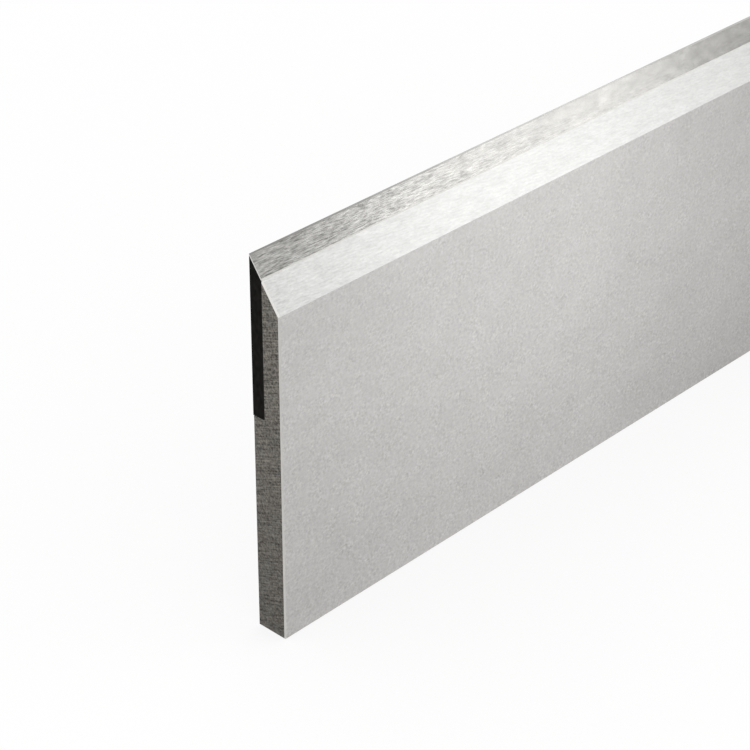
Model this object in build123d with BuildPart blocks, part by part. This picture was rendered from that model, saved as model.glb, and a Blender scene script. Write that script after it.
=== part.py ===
from build123d import *
import os
from math import cos, radians, sin, tan

# Carbide-tipped planer knife, standing on its back edge with the cutting edge up.
# X runs along the knife, Y goes through it from the front face to the back face, Z is up.
# The origin is in the middle of the back edge. Lengths are in millimetres, angles in degrees.

# Size of the ground knife
knife_length = 410.0
knife_width = 110.0       # from the back edge up to the cutting edge
knife_thickness = 10.0
bevel_angle = 36.0        # between the back face and the bevel

# Honed land, the narrow strip of bevel next to the cutting edge
land_width = 0.5          # along its slope
land_step = 6.0           # how much steeper the land is than the bevel

# Carbide strip, and the stepped seat that it is brazed into
strip_thickness = 4.0
strip_height = 45.0       # from the strip's foot up to the cutting edge
braze_gap = 0.2
seat_root_radius = 0.5    # left by the cutter in the inner corner of the seat
root_clearance = 0.1      # how much further the strip's corner is ground away than that radius

# Broken edges
body_edge_break = 0.4     # on the steel, at both ends and along the back edge
strip_edge_break = 0.15   # on the carbide and the braze, at both ends

# Where the two broad faces are, and how far the knife reaches from its middle
front_face = -knife_thickness / 2
back_face = knife_thickness / 2
half_length = knife_length / 2

# The land ends here, and the bevel runs through that point
land_angle = bevel_angle + land_step
land_foot_y = back_face - land_width * sin(radians(land_angle))
land_foot_z = knife_width - land_width * cos(radians(land_angle))
bevel_slope = 1 / tan(radians(bevel_angle))
bevel_foot_z = land_foot_z - (land_foot_y - front_face) * bevel_slope
apex_z = land_foot_z + (back_face - land_foot_y) * bevel_slope

# The strip stands on its foot, one braze gap above the floor of the seat
strip_foot_z = knife_width - strip_height
seat_floor_z = strip_foot_z - braze_gap
seat_depth = strip_thickness + braze_gap
strip_corner = seat_root_radius + root_clearance

touching = 0.001          # an edge this near the outline lies on it


# Cross-sections, drawn in the YZ plane with Y to the right and Z up
with BuildSketch(Plane.YZ) as ground_section:
    with BuildLine():
        Polyline(
            (front_face, 0),
            (back_face, 0),
            (back_face, apex_z),
            (front_face, bevel_foot_z),
            close=True,
        )
    make_face()

with BuildSketch(Plane.YZ) as seat_section:
    with Locations((back_face, seat_floor_z)):
        Rectangle(seat_depth, apex_z - seat_floor_z, align=(Align.MAX, Align.MIN))
    seat_root = seat_section.vertices().group_by(Axis.Y)[0].sort_by(Axis.X)[0]
    fillet(seat_root, radius=seat_root_radius)

with BuildSketch(Plane.YZ) as strip_section:
    with Locations((back_face, strip_foot_z)):
        Rectangle(strip_thickness, apex_z - strip_foot_z, align=(Align.MAX, Align.MIN))
    inner_corner = strip_section.vertices().group_by(Axis.Y)[0].sort_by(Axis.X)[0]
    chamfer(inner_corner, length=strip_corner)

# What the hone takes off: a bar that lies on the slope of the land, with the cutting edge mid-way
with BuildSketch(Plane.YZ) as hone_section:
    with Locations((back_face, knife_width)):
        Rectangle(
            4 * land_width,
            2 * land_width,
            rotation=90 - land_angle,
            align=(Align.CENTER, Align.MIN),
        )


# Edge selection
ground_outline = ground_section.sketch.wire()


def is_ground(edge):
    """True for an edge on the knife's outline, False for one inside the brazed joint."""
    middle = edge @ 0.5
    return ground_outline.distance_to(Vertex(0, middle.Y, middle.Z)) < touching


def end_edges(piece):
    """The edges round both ends of a piece that lie on the knife's outline."""
    return piece.faces().filter_by(Axis.X).edges().filter_by(is_ground)


# Steel body: a bar with one bevelled side and a stepped seat along its back
with BuildPart() as steel_body:
    extrude(ground_section.sketch, amount=half_length, both=True)
    extrude(seat_section.sketch, amount=half_length, both=True, mode=Mode.SUBTRACT)
    foot_edges = steel_body.edges().filter_by(Axis.X).group_by(Axis.Z)[0]
    chamfer(end_edges(steel_body) + foot_edges, length=body_edge_break)
steel_body.part.label = "steel_body"

# Carbide strip: one bar along the whole edge, ground flush with the back face and the bevel,
# its end edges broken and its cutting edge honed last
with BuildPart() as carbide_strip:
    extrude(strip_section.sketch, amount=half_length, both=True)
    extrude(ground_section.sketch, amount=half_length, both=True, mode=Mode.INTERSECT)
    chamfer(end_edges(carbide_strip), length=strip_edge_break)
    extrude(hone_section.sketch, amount=half_length, both=True, mode=Mode.SUBTRACT)
carbide_strip.part.label = "carbide_strip"

# Braze seam: fills the seat behind and under the strip, thicker in the inner corner
with BuildPart() as braze_seam:
    extrude(seat_section.sketch, amount=half_length, both=True)
    extrude(strip_section.sketch, amount=half_length, both=True, mode=Mode.SUBTRACT)
    extrude(ground_section.sketch, amount=half_length, both=True, mode=Mode.INTERSECT)
    chamfer(end_edges(braze_seam), length=strip_edge_break)
braze_seam.part.label = "braze_seam"


# One STEP file for each piece
os.makedirs("parts", exist_ok=True)
export_step(steel_body.part, "parts/steel_body.step")
export_step(carbide_strip.part, "parts/carbide_strip.step")
export_step(braze_seam.part, "parts/braze_seam.step")

for piece in (steel_body, carbide_strip, braze_seam):
    print(piece.part.label, "volume", round(piece.part.volume, 1), "mm3")
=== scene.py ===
# %% [markdown]
# # A carbide-tipped planer knife
#
# The object is one flat bar of tool steel with a bevelled edge. A strip of tungsten carbide is brazed
# into a step along its back, and everything is ground flush. It has three pieces and nothing moves.
#
# The shape comes finished from the CAD model, so this lesson is about surfaces. Almost all that the eye
# learns about such a knife comes from how each face was made: matt on the broad sides, bright and
# streaked on the bevel, dull and dark on the sawn ends.

# %% Load the finished shape
from math import asin, cos, degrees, pi, radians, sin

import bpy
from mathutils import Matrix, Vector


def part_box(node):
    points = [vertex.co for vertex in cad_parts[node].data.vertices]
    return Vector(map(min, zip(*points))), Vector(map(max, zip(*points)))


MM = 0.001                       # Blender counts in metres

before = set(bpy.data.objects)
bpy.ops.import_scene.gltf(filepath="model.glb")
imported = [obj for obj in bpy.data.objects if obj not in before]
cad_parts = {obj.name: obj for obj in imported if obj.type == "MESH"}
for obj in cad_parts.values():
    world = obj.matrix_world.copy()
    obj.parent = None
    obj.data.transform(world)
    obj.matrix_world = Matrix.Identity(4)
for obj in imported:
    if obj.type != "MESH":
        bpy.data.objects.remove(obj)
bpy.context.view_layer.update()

# %% [markdown]
# ## Two small helpers
#
# Blender's shaders work with linear light, but colours are easier to name as the hex values that a screen
# shows. One function turns the second into the first.
#
# The other function adds a node to a material. It sets the node's own properties, fills its sockets, and
# links those sockets whose value is the output of another node. It gives back the node's first output, so
# that one node can be fed straight into the next.

# %% Colours and nodes
def linear(hex_colour):
    """Turns an sRGB colour such as "C8C6C3" into linear red, green, blue and an alpha of 1."""
    values = [int(hex_colour[i:i + 2], 16) / 255 for i in (0, 2, 4)]
    return [v / 12.92 if v <= 0.04045 else ((v + 0.055) / 1.055) ** 2.4 for v in values] + [1.0]


def add(tree, kind, sockets=None, **settings):
    """Adds a node to tree, sets its properties, fills or links its inputs, and returns its output."""
    node = tree.nodes.new(kind)
    for name, value in settings.items():
        setattr(node, name, value)
    places = {socket.identifier: socket for socket in node.inputs}
    for key, value in (sockets or {}).items():
        socket = node.inputs[key] if isinstance(key, int) else places[key]
        if isinstance(value, bpy.types.NodeSocket):
            tree.links.new(value, socket)
        else:
            socket.default_value = value
    return next((output for output in node.outputs if output.enabled), node)


print("mid grey 808080 is", round(linear("808080")[0], 3), "in linear light")

# %% [markdown]
# ## Where each face is
#
# The knife stands on its back edge. Its length runs along X, the front face looks along -Y, and the bevel
# looks forward and up. The box of each node gives the sizes, and the bevel's angle is read from its face,
# so nothing here has to be measured twice.

# %% Sizes from the frame
knife_low, knife_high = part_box("steel_body")
strip_low, strip_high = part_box("carbide_strip")
near_end = knife_low[0]
front_face = knife_low[1]
knife_width = strip_high[2]
back_edge = 0.0                  # the knife stands on it

level = 0.01                     # how little a long face looks along X
rising = [
    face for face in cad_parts["steel_body"].data.polygons
    if abs(face.normal.x) < level and face.normal.y < -level and face.normal.z > level
]
bevel_face = max(rising, key=lambda face: face.area)
bevel_angle = asin(bevel_face.normal.z)
print("the bevel makes", round(degrees(bevel_angle), 1), "degrees with the back face")

strip_thickness = strip_high[1] - strip_low[1]
seam_height = knife_width - strip_thickness * cos(bevel_angle) / sin(bevel_angle)
print("cutting edge at", round(knife_width / MM, 1), "mm, seam at", round(seam_height / MM, 1), "mm")

# %% [markdown]
# ## The camera
#
# The picture is taken with a long lens from the left, looking down. The knife runs away from the camera
# and out of the picture on the right. The camera is placed by the spot it aims at, its distance, and three
# angles, which is how a photographer would describe it.

# %% Camera
aim_from_near_end = 33.55 * MM
aim_height = 65.81 * MM
camera_distance = 613.9 * MM
camera_turn = radians(-46.70)    # to the left of the front face
camera_rise = radians(31.00)
camera_roll = radians(0.186)
camera_lens = 115.85             # mm, on a sensor 36 mm wide
sensor_width = 36
nearest_seen = 10 * MM


def way_to(turn, rise):
    """Points away from the knife: turn is to the right of the front face, and rise is above level."""
    return Vector((sin(turn) * cos(rise), -cos(turn) * cos(rise), sin(rise)))


aim = Vector((near_end + aim_from_near_end, front_face, aim_height))
to_camera = way_to(camera_turn, camera_rise)
camera = bpy.data.objects.new("camera", bpy.data.cameras.new("camera"))
camera.data.lens = camera_lens
camera.data.sensor_width = sensor_width
camera.data.clip_start = nearest_seen
camera.location = aim + camera_distance * to_camera
camera.rotation_mode = "QUATERNION"
rolled = Matrix.Rotation(camera_roll, 3, "Z").to_quaternion()
camera.rotation_quaternion = (-to_camera).to_track_quat("-Z", "Y") @ rolled
bpy.context.scene.collection.objects.link(camera)
bpy.context.scene.camera = camera
print("camera at", [round(side / MM) for side in camera.location], "mm")

# %% [markdown]
# ## The room
#
# Ground metal is a blurred mirror: it shows the room more than its own colour. The room here is plain white
# on all sides, so each finish renders about as its colour is written.

# %% World
world = bpy.data.worlds.new("white_room")
world.use_nodes = True
world.node_tree.nodes.clear()
room = add(world.node_tree, "ShaderNodeBackground", {"Color": linear("FFFFFF"), "Strength": 1.0})
add(world.node_tree, "ShaderNodeOutputWorld", {"Surface": room})
bpy.context.scene.world = world
bpy.context.scene.view_settings.view_transform = "Standard"
print("view transform:", bpy.context.scene.view_settings.view_transform)

# %% [markdown]
# ## The floor
#
# The floor is a large white sheet. A sheet that is only lit looks grey next to the pure white of a product
# picture, so part of it glows for the camera and for reflections. The other part is an ordinary matt
# surface, which keeps the knife's soft shadow.
#
# The sheet is the first thing here with a material, so the helper that starts every material comes first.

# %% Floor
floor_half = 6.0                 # metres from the middle to each side
floor_glow = 0.8                 # the share that glows instead of taking light and shadow


def new_finish(name):
    """Starts a material with an empty node tree."""
    material = bpy.data.materials.new(name)
    material.use_nodes = True
    material.node_tree.nodes.clear()
    return material, material.node_tree


paper, tree = new_finish("white_paper_sheet")
ray = add(tree, "ShaderNodeLightPath").node.outputs
seen = add(tree, "ShaderNodeMath", {0: ray["Is Camera Ray"], 1: ray["Is Glossy Ray"]}, operation="ADD")
seen = add(tree, "ShaderNodeMath", {0: seen, 1: ray["Is Transmission Ray"]}, operation="ADD")
share = add(tree, "ShaderNodeMath", {0: seen, 1: floor_glow}, operation="MULTIPLY", use_clamp=True)
matt = add(tree, "ShaderNodeBsdfDiffuse", {"Color": linear("FDFDFD")})
glow = add(tree, "ShaderNodeEmission", {"Color": linear("FFFFFF"), "Strength": 1.0})
sheet = add(tree, "ShaderNodeMixShader", {0: share, 1: matt, 2: glow})
add(tree, "ShaderNodeOutputMaterial", {"Surface": sheet})

floor_mesh = bpy.data.meshes.new("floor")
corners = [(x * floor_half, y * floor_half, 0) for x, y in ((-1, -1), (1, -1), (1, 1), (-1, 1))]
floor_mesh.from_pydata(corners, [], [(0, 1, 2, 3)])
floor_mesh.materials.append(paper)
floor = bpy.data.objects.new("floor", floor_mesh)
bpy.context.scene.collection.objects.link(floor)
print("floor is", 2 * floor_half, "m wide")

# %% [markdown]
# ## Two softboxes
#
# A bevel is read by its highlight. Two small softboxes stand to the front right, where the bevel throws the
# camera's line of sight. The high one is the bright patch half way along the bevel, which fades towards
# both ends. The low one stands closer and gives the matt front face the same gentle fall of light.
#
# A lamp's brightness is its power over its area and pi. Writing the brightness and working out the power
# keeps a highlight as it is when the size changes. A value of 1 is as bright as the white room.

# %% Softboxes
lit_from_near_end = 115 * MM
lit_height = 80 * MM
lit_spot = Vector((near_end + lit_from_near_end, 0, lit_height))


def softbox(name, to_lamp, distance, width, height, brightness):
    """Hangs a rectangular lamp at a distance from the lit spot and turns it to look at that spot."""
    light = bpy.data.lights.new(name, "AREA")
    light.shape = "RECTANGLE"
    light.size = width
    light.size_y = height
    light.energy = brightness * pi * width * height
    lamp = bpy.data.objects.new(name, light)
    lamp.location = lit_spot + distance * to_lamp
    lamp.rotation_mode = "QUATERNION"
    lamp.rotation_quaternion = (-to_lamp).to_track_quat("-Z", "Y")
    bpy.context.scene.collection.objects.link(lamp)
    print(name, "gives", round(light.energy, 3), "W at", [round(side / MM) for side in lamp.location])


softbox(
    "high_softbox",
    way_to(turn=radians(47.8), rise=radians(23.5)),
    distance=600 * MM,
    width=174 * MM,
    height=181 * MM,
    brightness=1.2,
)
softbox(
    "low_softbox",
    way_to(turn=radians(36.5), rise=radians(5.7)),
    distance=350 * MM,
    width=120 * MM,
    height=80 * MM,
    brightness=3.24,
)

# %% [markdown]
# ## Patterns with a real size
#
# Each finish on this knife is a pattern of marks with a length, a width and a direction. Noise can give
# them all, if it is stretched: a Mapping node set to "texture" scales it so that one cell of the noise
# measures what the mark measures, in millimetres, along X, Y and Z. A matrix turns it, where the marks
# don't follow the axes. Detail and roughness add finer marks within each, and start from Blender's own
# values.

# %% Stretched noise
def pattern(tree, cell, turned=Matrix.Identity(3), detail=2.0, roughness=0.5):
    """Noise from 0 to 1 whose cells measure cell (millimetres along X, Y and Z)."""
    place = add(tree, "ShaderNodeTexCoord").node.outputs["Object"]
    stretched = add(tree, "ShaderNodeMapping", {
        "Vector": place,
        "Rotation": turned.to_euler(),
        "Scale": [side * MM for side in cell],
    }, vector_type="TEXTURE")
    return add(tree, "ShaderNodeTexNoise", {
        "Vector": stretched,
        "Scale": 1.0,
        "Detail": detail,
        "Roughness": roughness,
    })


print("a noise cell of 1 mm is", MM, "m in Blender")

# %% [markdown]
# ## Patterns put together
#
# A ground face has marks of several sizes at once, so patterns are added up, each with its share. The sum of
# a few noises is pale and even. Spreading it around its middle gives the contrast back.
#
# Some finishes change along the knife. The second helper rises from 0 to 1 between two places. Given the
# same two places the other way round, it falls.

# %% Layers and slopes
middle = 0.5                     # of a noise, which runs from 0 to 1


def layered(tree, *layers, contrast):
    """Adds patterns up by their shares, which make 1, and spreads the sum around its middle."""
    total = middle - middle * contrast
    for layer, share in layers:
        total = add(tree, "ShaderNodeMath", {0: layer, 1: contrast * share, 2: total},
                    operation="MULTIPLY_ADD")
    return total


def along(tree, axis, start, end, lowest=0.0):
    """Rises from lowest at start to 1 at end, which are two places on the X, Y or Z axis."""
    place = add(tree, "ShaderNodeTexCoord").node.outputs["Object"]
    split = add(tree, "ShaderNodeSeparateXYZ", {"Vector": place}).node.outputs[axis]
    return add(tree, "ShaderNodeMapRange", {
        "Value": split,
        "From Min": start,
        "From Max": end,
        "To Min": lowest,
    })


print("X runs from", round(near_end / MM), "to", round(knife_high[0] / MM), "mm")

# %% [markdown]
# ## The metal itself
#
# Every finish here is a metal, so one function ends them all. The pattern works twice: it sets the colour,
# and as a very shallow bump it makes the face glitter when the light moves.
#
# Wheel marks are tiny grooves, so they blur a reflection across their length and hardly along it. A shader
# calls that anisotropy. The tangent runs round the X axis, which is across the marks on every long face.

# %% Metal surface
def finish_metal(finish, colour, roughness, height=None, depth=0.0, grooved=0.0, rim="FFFFFF"):
    """Ends a metal finish. Depth is the bump's in mm, and grooved is how much the marks aim the gloss."""
    tree = finish.node_tree
    sockets = {
        "Base Color": colour,
        "Metallic": 1.0,
        "Roughness": roughness,
        "Anisotropic": grooved,
        "Specular Tint": linear(rim),
    }
    if height:
        sockets["Normal"] = add(tree, "ShaderNodeBump", {"Height": height, "Distance": depth * MM})
    if grooved:
        sockets["Tangent"] = add(tree, "ShaderNodeTangent", direction_type="RADIAL", axis="X")
    surface = add(tree, "ShaderNodeBsdfPrincipled", sockets)
    add(tree, "ShaderNodeOutputMaterial", {"Surface": surface})
    print(finish.name, "has", len(tree.nodes), "nodes and a roughness of", roughness)


# %% [markdown]
# ## Broad faces: tool steel, surface ground and matt
#
# The broad faces of the bar come from a surface grinder, whose wheel runs along the knife. The grit leaves
# fine marks along X and a frosty grain. To the eye it is a pale, slightly warm grey, mottled from close by,
# that spreads a lamp's light far across the marks and less far along them.
#
# Real grit marks are about 0.05 mm wide, which is far below one pixel here. The grain is drawn as coarse as
# it needs to show, at 0.8 mm, and the marks at 0.35 mm.
#
# A wheel wears unevenly, so the grain is stronger in some patches than in others, and coarser towards the
# back edge. Both multiply how far the grit strays from the middle of its range. Clouds 10 mm across shade
# the whole face a little. The steel is also painted a shade darker towards the back edge and away from the
# near end. This is painted shade, which stands in for the light that falls off there.

# %% Matt ground tool steel
# Painted shade on the broad faces: below this height, and along the far part of the knife
painted_shade_below = 58 * MM
painted_shade_from = near_end + 125 * MM
painted_shade_to = near_end + 200 * MM

matt_steel, tree = new_finish("matt_surface_ground_tool_steel")
grit = pattern(tree, cell=(0.8, 0.8, 0.8), detail=5.0, roughness=0.75)
wear = pattern(tree, cell=(5.0, 5.0, 4.0))
patches = layered(tree, (wear, 1.0), contrast=1.5)
coarseness = add(tree, "ShaderNodeMath", {
    0: patches,
    1: along(tree, "Z", knife_width, back_edge, lowest=0.65),
}, operation="MULTIPLY")
grain = add(tree, "ShaderNodeMix", {
    "Factor_Float": coarseness,
    "A_Float": middle,
    "B_Float": grit,
}, data_type="FLOAT")
marks = pattern(tree, cell=(1.6, 0.5, 0.35))
clouds = pattern(tree, cell=(14.0, 10.0, 10.0))
mottle = layered(tree, (grain, 0.86), (marks, 0.09), (clouds, 0.05), contrast=2.6)
frosty = add(tree, "ShaderNodeMix", {
    "Factor_Float": mottle,
    "A_Color": linear("959391"),
    "B_Color": linear("EBE9E7"),
}, data_type="RGBA")
# Painted shade: the colour darkens towards the back edge
painted_low_shade = add(tree, "ShaderNodeMix", {
    "Factor_Float": along(tree, "Z", painted_shade_below, back_edge),
    "A_Color": frosty,
    "B_Color": linear("F1F1F1"),
}, data_type="RGBA", blend_type="MULTIPLY")
# Painted shade: the colour darkens away from the near end, where the light falls off
painted_shade_low_and_far = add(tree, "ShaderNodeMix", {
    "Factor_Float": along(tree, "X", painted_shade_from, painted_shade_to),
    "A_Color": painted_low_shade,
    "B_Color": linear("F4F4F4"),
}, data_type="RGBA", blend_type="MULTIPLY")
finish_metal(matt_steel, painted_shade_low_and_far, roughness=0.465, height=grit, depth=0.01, grooved=0.85)

# %% [markdown]
# ## Steel half of the bevel: tool steel, cup wheel ground
#
# The bevel is ground on a cup wheel, which sweeps along it at a small lean. Fresh from the wheel the steel
# is the brightest part of the knife: to the eye nearly white, with faint streaks that run along the edge and
# rise a little. They are plainer at the near end, until the wheel has settled into its cut.
#
# A second matrix turns the pattern: first until its Y axis climbs the bevel, then by the lean. The streaks
# are drawn 3 mm long and 0.45 mm wide, some ten times the real scratches, because finer ones would vanish.

# %% Bright ground tool steel
up_the_bevel = Matrix.Rotation(pi / 2 - bevel_angle, 3, "X")
wheel_lean = radians(-5)
wheel_settles_at = near_end + 60 * MM
leaning = up_the_bevel @ Matrix.Rotation(wheel_lean, 3, "Z")

bright_steel, tree = new_finish("bright_cup_wheel_ground_tool_steel")
marks = pattern(tree, cell=(3.0, 0.45, 1.0), turned=leaning, detail=3.0, roughness=0.65)
flecks = pattern(tree, cell=(1.0, 0.4, 1.0), turned=leaning)
clouds = pattern(tree, cell=(7.0, 2.5, 2.5), turned=leaning)
shares = ((marks, 0.45), (flecks, 0.3), (clouds, 0.25))
settled = layered(tree, *shares, contrast=1.7)
unsettled = layered(tree, *shares, contrast=2.8)
streaks = add(tree, "ShaderNodeMix", {
    "Factor_Float": along(tree, "X", wheel_settles_at, near_end),
    "A_Float": settled,
    "B_Float": unsettled,
}, data_type="FLOAT")
bright = add(tree, "ShaderNodeMix", {
    "Factor_Float": streaks,
    "A_Color": linear("C3C3C1"),
    "B_Color": linear("ECECEA"),
}, data_type="RGBA")
finish_metal(bright_steel, bright, roughness=0.445, height=marks, depth=0.005, grooved=0.85)
print("the bevel rises at", round(degrees(pi / 2 - bevel_angle)), "degrees, and on it the streaks lean by",
      round(degrees(abs(wheel_lean))))

# %% [markdown]
# ## Sawn ends: tool steel, left from the saw
#
# Nobody polishes the ends of a knife. The saw leaves them rough, with short lines across the 10 mm
# thickness, small pits and a brownish film in places. To the eye this is a rough mid grey that hardly
# shines. Its darkness is partly this finish and partly painted shade.
#
# The lines lean as the blade entered the bar. They are drawn 8 mm long and 0.4 mm apart, which is close to a
# real saw's pitch. The pits between them are 0.6 mm wide. The film is one more pattern, of 5 mm stains, that
# only shifts the hue. Towards the back edge the whole end is painted a shade darker, as painted shade.

# %% Sawn tool steel
saw_lean = radians(-22)
sawn_down = Matrix.Rotation(saw_lean, 3, "X")

sawn_steel, tree = new_finish("sawn_tool_steel")
lines = pattern(tree, cell=(1.0, 8.0, 0.4), turned=sawn_down, detail=3.0)
pits = pattern(tree, cell=(0.6, 0.6, 0.6), detail=4.0, roughness=0.6)
stains = pattern(tree, cell=(6.0, 5.0, 6.0))
rough = layered(tree, (lines, 0.4), (pits, 0.6), contrast=3.4)
# Partly painted shade: this grey range is darker than the sawn steel alone
grey = add(tree, "ShaderNodeMix", {
    "Factor_Float": rough,
    "A_Color": linear("353231"),
    "B_Color": linear("9C9893"),
}, data_type="RGBA")
film = add(tree, "ShaderNodeMix", {
    "Factor_Float": stains,
    "A_Color": linear("FAFFFA"),
    "B_Color": linear("FFF9F4"),
}, data_type="RGBA")
stained = add(tree, "ShaderNodeMix", {
    "Factor_Float": 1.0,
    "A_Color": grey,
    "B_Color": film,
}, data_type="RGBA", blend_type="MULTIPLY")
# Painted shade: the end darkens towards the back edge
painted_low_shade = add(tree, "ShaderNodeMix", {
    "Factor_Float": along(tree, "Z", knife_width, back_edge),
    "A_Color": stained,
    "B_Color": linear("D4D4D4"),
}, data_type="RGBA", blend_type="MULTIPLY")
finish_metal(sawn_steel, painted_low_shade, roughness=0.5, height=rough, depth=0.02)

# %% [markdown]
# ## Broken edges: tool steel and carbide, stoned by hand
#
# Every sharp corner but the cutting edge is broken with a stone, a fraction of a millimetre wide. A broken
# edge is what draws a thin line of light round a metal part, so it has a finish of its own: smoother and a
# little paler than its neighbours, with fine marks across. The paleness is partly painted highlight.
#
# The corners at the ends of the bevel catch the most light. On the steel they get a smoother, paler copy of
# the stoned finish, which is a painted highlight.

# %% Stoned edges
def stoned(name, dark, light, roughness):
    """A smooth edge whose fine marks run across it."""
    finish, tree = new_finish(name)
    marks = pattern(tree, cell=(0.5, 2.0, 2.0))
    pale = add(tree, "ShaderNodeMix", {
        "Factor_Float": marks,
        "A_Color": linear(dark),
        "B_Color": linear(light),
    }, data_type="RGBA")
    finish_metal(finish, pale, roughness, height=marks, depth=0.005)
    return finish


stoned_steel = stoned("stoned_tool_steel", "BCBAB7", "D0CECB", roughness=0.35)
# Painted highlight: a paler copy of the stoned steel for the corners at the ends of the bevel
stoned_steel_painted_highlight = stoned("stoned_tool_steel_painted_highlight", "E0DEDB", "EEECE9", roughness=0.3)
stoned_carbide = stoned("stoned_carbide", "C8C6C2", "E0DEDA", roughness=0.3)

# %% [markdown]
# ## Carbide half of the bevel: tungsten carbide, diamond ground
#
# Carbide is so hard that only a diamond wheel cuts it. It comes out smoother than the steel beside it, so it
# mirrors the lamps more sharply, and its scratches stand out dark on bright: to the eye a lively, streaked,
# slightly greenish silver that is darker than the steel.
#
# The diamond wheel is set nearly level, so its streaks follow the edge more closely than those on the steel.
# They fade out towards the middle of the knife, and first along the cutting edge, where the wheel finishes
# its cut. What remains there are soft clouds. In the far half the streaks come back.
#
# As on the steel, the 0.2 mm wide streaks are several times the real ones.

# %% Diamond ground carbide
streaks_fade_from = near_end + 42 * MM
streaks_fade_to = near_end + 122 * MM
streaks_grow_from = near_end + 200 * MM
streaks_grow_to = near_end + 260 * MM
calmer_from = seam_height + 0.5 * MM
calmest_from = knife_width - 1.5 * MM

diamond_lean = radians(-1.5)
nearly_level = up_the_bevel @ Matrix.Rotation(diamond_lean, 3, "Z")

bright_carbide, tree = new_finish("diamond_ground_tungsten_carbide")
marks = pattern(tree, cell=(3.2, 0.2, 1.0), turned=nearly_level, detail=4.0, roughness=0.75)
flecks = pattern(tree, cell=(1.8, 0.33, 1.0), turned=nearly_level)
scratches = layered(tree, (marks, 0.65), (flecks, 0.35), contrast=1.2)
calm_stretch = add(tree, "ShaderNodeMath", {
    0: along(tree, "X", streaks_fade_from, streaks_fade_to),
    1: along(tree, "X", streaks_grow_to, streaks_grow_from),
}, operation="MULTIPLY")
calm = add(tree, "ShaderNodeMath", {
    0: calm_stretch,
    1: along(tree, "Z", calmer_from, calmest_from, lowest=0.75),
}, operation="MULTIPLY")
calmed = add(tree, "ShaderNodeMix", {
    "Factor_Float": calm,
    "A_Float": scratches,
    "B_Float": middle,
}, data_type="FLOAT")
clouds = pattern(tree, cell=(5.0, 2.5, 2.5), turned=nearly_level, detail=3.0)
streaks = layered(tree, (calmed, 0.83), (clouds, 0.17), contrast=2.2)
streaked = add(tree, "ShaderNodeMix", {
    "Factor_Float": streaks,
    "A_Color": linear("343330"),
    "B_Color": linear("E9E8E4"),
}, data_type="RGBA")
print("streaks are calmest from", round((streaks_fade_to - near_end) / MM), "to",
      round((streaks_grow_from - near_end) / MM), "mm from the near end")

# %% [markdown]
# ## Shades along the carbide
#
# The strip is painted a shade darker at its near end, and darker again along the seam in its far half.
# Both are painted shade, where the highlight falls off along the bevel. Each shade multiplies the streaks,
# so they stay as lively as they were.

# %% Shades
near_shade_full_to = near_end + 22 * MM
near_shade_ends_at = near_end + 50 * MM
far_shade_from = near_end + 145 * MM
far_shade_to = near_end + 195 * MM

# Painted shade at the near end of the carbide
near_shaded = add(tree, "ShaderNodeMix", {
    "Factor_Float": along(tree, "X", near_shade_ends_at, near_shade_full_to),
    "A_Color": streaked,
    "B_Color": linear("F2F2F2"),
}, data_type="RGBA", blend_type="MULTIPLY")
# Painted shade along the seam in the far half
far_shade = add(tree, "ShaderNodeMath", {
    0: along(tree, "X", far_shade_from, far_shade_to),
    1: along(tree, "Z", knife_width, seam_height),
}, operation="MULTIPLY")
far_shaded = add(tree, "ShaderNodeMix", {
    "Factor_Float": far_shade,
    "A_Color": near_shaded,
    "B_Color": linear("E8E8E8"),
}, data_type="RGBA", blend_type="MULTIPLY")
finish_metal(bright_carbide, far_shaded, roughness=0.2, height=marks, depth=0.005, grooved=0.85)

# %% [markdown]
# ## Cutting edge: tungsten carbide, honed
#
# A knife that is only ground is brittle at its very edge, so a hone takes it back to a land half a
# millimetre wide and six degrees blunter. The land faces another way than the bevel, and draws a thin dark
# line along the top of the knife. Its colour is painted darker at the near end and paler further on, as
# painted shade and painted light that follow the highlight along the bevel.

# %% Honed carbide
painted_shade_land_to = near_end + 10 * MM
painted_light_land_from = near_end + 85 * MM

honed_carbide, tree = new_finish("honed_tungsten_carbide")
marks = pattern(tree, cell=(6.0, 0.3, 1.0), turned=nearly_level)
honed_in_painted_shade = add(tree, "ShaderNodeMix", {
    "Factor_Float": marks,
    "A_Color": linear("706F6B"),
    "B_Color": linear("A8A7A3"),
}, data_type="RGBA")
honed_in_painted_light = add(tree, "ShaderNodeMix", {
    "Factor_Float": marks,
    "A_Color": linear("A8A7A3"),
    "B_Color": linear("D2D1CD"),
}, data_type="RGBA")
# Painted shade at the near end, painted light further on
honed = add(tree, "ShaderNodeMix", {
    "Factor_Float": along(tree, "X", painted_shade_land_to, painted_light_land_from),
    "A_Color": honed_in_painted_shade,
    "B_Color": honed_in_painted_light,
}, data_type="RGBA")
finish_metal(honed_carbide, honed, roughness=0.2, grooved=0.85)

# %% [markdown]
# ## Ends of the strip: tungsten carbide, sawn
#
# Cut off by a diamond saw and left so, the carbide here is painted almost black, which is partly its rough
# sawn finish and partly painted shade. Pits of a millimetre or two make it faintly uneven. Its rim tint is
# lowered as well: at a glancing angle every metal turns white, and a dark rough one would otherwise look
# like grey paint.

# %% Sawn carbide
sawn_carbide, tree = new_finish("sawn_tungsten_carbide")
pits = pattern(tree, cell=(1.2, 1.2, 2.0), detail=3.0)
# Partly painted shade: the near-black range of the sawn carbide
dark = add(tree, "ShaderNodeMix", {
    "Factor_Float": pits,
    "A_Color": linear("050504"),
    "B_Color": linear("2B2A28"),
}, data_type="RGBA")
finish_metal(sawn_carbide, dark, roughness=0.45, height=pits, depth=0.01, rim="C0C0C0")

# %% [markdown]
# ## Back of the strip: tungsten carbide, surface ground
#
# The back is ground flat over steel and carbide in one pass, so that the strip sits flush. The wheel runs
# along the knife as on the front, and cuts the carbide to a satin, darker grey than the steel.

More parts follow.
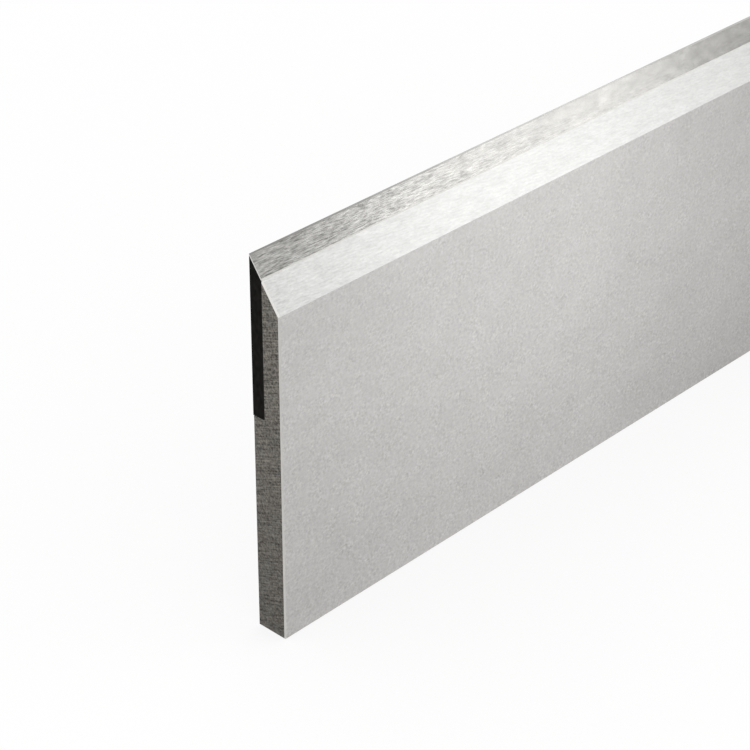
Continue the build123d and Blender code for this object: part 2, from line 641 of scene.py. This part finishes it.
# %% Surface ground carbide
satin_carbide, tree = new_finish("surface_ground_tungsten_carbide")
marks = pattern(tree, cell=(6.0, 0.5, 0.3), detail=3.0)
bands = pattern(tree, cell=(60.0, 10.0, 4.0))
streaks = layered(tree, (marks, 0.65), (bands, 0.35), contrast=1.2)
satin = add(tree, "ShaderNodeMix", {
    "Factor_Float": streaks,
    "A_Color": linear("7C7B78"),
    "B_Color": linear("A9A8A4"),
}, data_type="RGBA")
finish_metal(satin_carbide, satin, roughness=0.3, height=marks, depth=0.005, grooved=0.7)

# %% [markdown]
# ## The seam: silver braze, ground and oxidised
#
# A layer of silver solder 0.2 mm thick holds the strip. On the bevel the wheel has wiped it to a grey
# between those of the two metals, so it is hard to find. On the back, where the grinding was gentler, it
# keeps its own pale gold. On the sawn ends it has kept the dark oxide of the flame, and to the eye it is
# only a shadow between the carbide and the steel.

# %% Silver braze
def brazed(name, dark, light, roughness):
    """Silver solder with smears that run along the seam."""
    finish, tree = new_finish(name)
    smears = pattern(tree, cell=(3.0, 0.5, 0.5), detail=3.0)
    solder = add(tree, "ShaderNodeMix", {
        "Factor_Float": smears,
        "A_Color": linear(dark),
        "B_Color": linear(light),
    }, data_type="RGBA")
    finish_metal(finish, solder, roughness, height=smears, depth=0.005)
    return finish


wiped_braze = brazed("wheel_wiped_silver_braze", "B6B5B1", "D6D5D1", roughness=0.35)
ground_braze = brazed("surface_ground_silver_braze", "A79E88", "CCC3AA", roughness=0.35)
oxidised_braze = brazed("oxidised_silver_braze", "0B0A09", "1B1916", roughness=0.5)

# %% [markdown]
# ## Dress each face in its finish
#
# The finish of a face follows from the tool that made it, and that follows from the way the face looks.
# So each face is asked for its normal: along X it is an end, along Y or Z a broad face, and at the angle of
# the bevel or the land it is one of these. What is left are the broken edges.

# %% Faces and finishes
finishes = {
    "steel_body": {
        "broad": matt_steel, "bevel": bright_steel, "end": sawn_steel,
        "edge": stoned_steel, "bevel corner": stoned_steel_painted_highlight,
    },
    "carbide_strip": {
        "broad": satin_carbide, "bevel": bright_carbide, "land": honed_carbide, "end": sawn_carbide,
        "edge": stoned_carbide, "bevel corner": stoned_carbide,
    },
    "braze_seam": {
        "broad": ground_braze, "bevel": wiped_braze, "end": oxidised_braze,
        "edge": wiped_braze, "bevel corner": wiped_braze,
    },
}
straight = 0.99                  # how nearly a face looks along an axis
half_the_land_step = radians(3)
slanted = 0.2                    # how much a corner looks up and forward


def zone_of(normal):
    """Names the kind of a face by the way it looks."""
    if abs(normal.x) > straight:
        return "end"
    if abs(normal.y) > straight or abs(normal.z) > straight:
        return "broad"
    long_face = abs(normal.x) < level and normal.y < 0
    if long_face and normal.z > sin(bevel_angle + half_the_land_step):
        return "land"
    if long_face and normal.z > sin(bevel_angle - half_the_land_step):
        return "bevel"
    if normal.z > slanted and normal.y < -slanted:
        return "bevel corner"
    return "edge"


for node, zones in finishes.items():
    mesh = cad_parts[node].data
    mesh.materials.clear()
    names = list(zones)
    for name in names:
        mesh.materials.append(zones[name])
    for face in mesh.polygons:
        face.material_index = names.index(zone_of(face.normal))
    used = sorted({names[face.material_index] for face in mesh.polygons})
    print(node, "has", len(mesh.polygons), "faces:", ", ".join(used))
